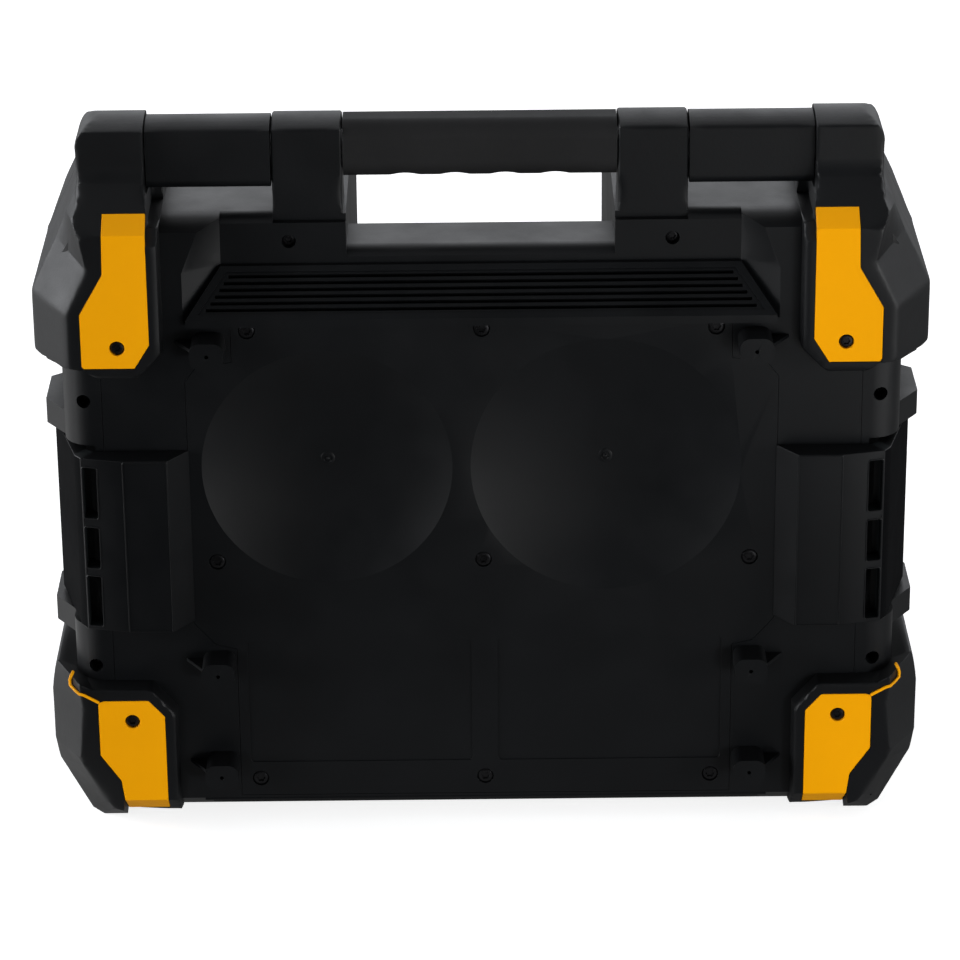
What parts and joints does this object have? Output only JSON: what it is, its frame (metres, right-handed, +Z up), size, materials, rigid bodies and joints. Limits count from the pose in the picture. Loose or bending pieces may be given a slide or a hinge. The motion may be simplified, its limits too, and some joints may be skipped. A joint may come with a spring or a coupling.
{
  "type": "jobsite radio",
  "caption": "Jobsite radio with a full-width carry handle, wrap-round corner guards with yellow plates, side latches, twin speakers, sloped controls and a front device bay.",
  "frame": {"origin": "middle of the footprint, on the ground, under the centre of the bounding box", "axes": "+Z up, +X to the right of somebody facing the front, the front looks along -Y and the back with its stacking feet along +Y"},
  "size_m": [0.44, 0.24, 0.372],
  "materials": {
    "shell": "satin, fine moulded grain",
    "panel": "satin, fine moulded grain",
    "guard": "satin, coarse moulded grain",
    "yellow": "satin",
    "latch": "satin",
    "grip": "matt, soft touch",
    "core": "plain drawn",
    "screw": "black oxide",
    "pin": "plain",
    "grille": "black powder coat",
    "basket": "black lacquer",
    "cone": "matt cone, rubber surround",
    "tweeter": "satin with a silk-like dome",
    "fascia": "fine satin",
    "window": "clear, slightly smoked",
    "board": "solder-masked laminate",
    "knob": "satin with a soft rim",
    "button": "matt",
    "bay": "satin",
    "dock": "satin",
    "socket": "semi-gloss",
    "flap": "matt"
  },
  "bodies": {
    "radio": {"front_shell": "shell", "rear_shell": "shell", "rear_panel": "panel", "panel_screws": "screw", "housing_screws": "screw", "guard_screws": "screw", "handle_core": "core", "handle_grip": "grip", "handle_sleeve_left": "guard", "handle_sleeve_right": "guard", "handle_post_left": "guard", "handle_post_right": "guard", "latch_pin_left": "pin", "latch_pin_right": "pin", "speaker_grille_left": "grille", "speaker_grille_right": "grille", "woofer_frame_left": "basket", "woofer_frame_right": "basket", "woofer_cone_left": "cone", "woofer_cone_right": "cone", "tweeter_left": "tweeter", "tweeter_right": "tweeter", "control_panel": "fascia", "display_window": "window", "main_board": "board", "device_bay": "bay", "battery_dock": "dock", "charger_board": "board", "door_pin": "pin", "port_block": "socket", "flap_bracket": "shell", "rear_upper_guard_left": "guard", "rear_upper_plate_left": "yellow", "rear_upper_guard_right": "guard", "rear_upper_plate_right": "yellow", "rear_lower_guard_left": "guard", "rear_lower_plate_left": "yellow", "rear_lower_guard_right": "guard", "rear_lower_plate_right": "yellow", "front_upper_guard_left": "guard", "front_upper_plate_left": "yellow", "front_upper_guard_right": "guard", "front_upper_plate_right": "yellow", "front_lower_guard_left": "guard", "front_lower_plate_left": "yellow", "front_lower_guard_right": "guard", "front_lower_plate_right": "yellow"},
    "side_latch_left": {"side_latch_left": "latch"},
    "side_latch_right": {"side_latch_right": "latch"},
    "bay_door": {"bay_door": "shell"},
    "port_flap": {"port_flap": "flap"},
    "volume_knob": {"volume_knob": "knob", "encoder_shaft": "pin"},
    "button_1": {"button_1": "button"},
    "button_2": {"button_2": "button"},
    "button_3": {"button_3": "button"},
    "button_4": {"button_4": "button"},
    "button_5": {"button_5": "button"},
    "button_6": {"button_6": "button"}
  },
  "joints": [
    {"name": "side_latch_left_hinge", "type": "hinge", "parent": "radio", "child": "side_latch_left", "pos_m": [-0.209, 0.058, 0.1615], "axis": [0, 0, 1], "range_deg": [0, 100]},
    {"name": "side_latch_right_hinge", "type": "hinge", "parent": "radio", "child": "side_latch_right", "pos_m": [0.209, 0.058, 0.1615], "axis": [0, 0, -1], "range_deg": [0, 100]},
    {"name": "bay_door_hinge", "type": "hinge", "parent": "radio", "child": "bay_door", "pos_m": [0, -0.1136, 0.034], "axis": [1, 0, 0], "range_deg": [0, 95]},
    {"name": "port_flap_hinge", "type": "hinge", "parent": "radio", "child": "port_flap", "pos_m": [-0.112, -0.1114, 0.0675], "axis": [-1, 0, 0], "range_deg": [0, 110]},
    {"name": "volume_turn", "type": "hinge", "parent": "radio", "child": "volume_knob", "pos_m": [0, -0.04157, 0.24903], "axis": [0, -0.5299, 0.848], "continuous": true},
    {"name": "button_1_press", "type": "slide", "parent": "radio", "child": "button_1", "axis": [0, 0.5299, -0.848], "range_m": [0, 0.0012], "stiffness_N_per_m": 600},
    {"name": "button_2_press", "type": "slide", "parent": "radio", "child": "button_2", "axis": [0, 0.5299, -0.848], "range_m": [0, 0.0012], "stiffness_N_per_m": 600},
    {"name": "button_3_press", "type": "slide", "parent": "radio", "child": "button_3", "axis": [0, 0.5299, -0.848], "range_m": [0, 0.0012], "stiffness_N_per_m": 600},
    {"name": "button_4_press", "type": "slide", "parent": "radio", "child": "button_4", "axis": [0, 0.5299, -0.848], "range_m": [0, 0.0012], "stiffness_N_per_m": 600},
    {"name": "button_5_press", "type": "slide", "parent": "radio", "child": "button_5", "axis": [0, 0.5299, -0.848], "range_m": [0, 0.0012], "stiffness_N_per_m": 600},
    {"name": "button_6_press", "type": "slide", "parent": "radio", "child": "button_6", "axis": [0, 0.5299, -0.848], "range_m": [0, 0.0012], "stiffness_N_per_m": 600}
  ]
}
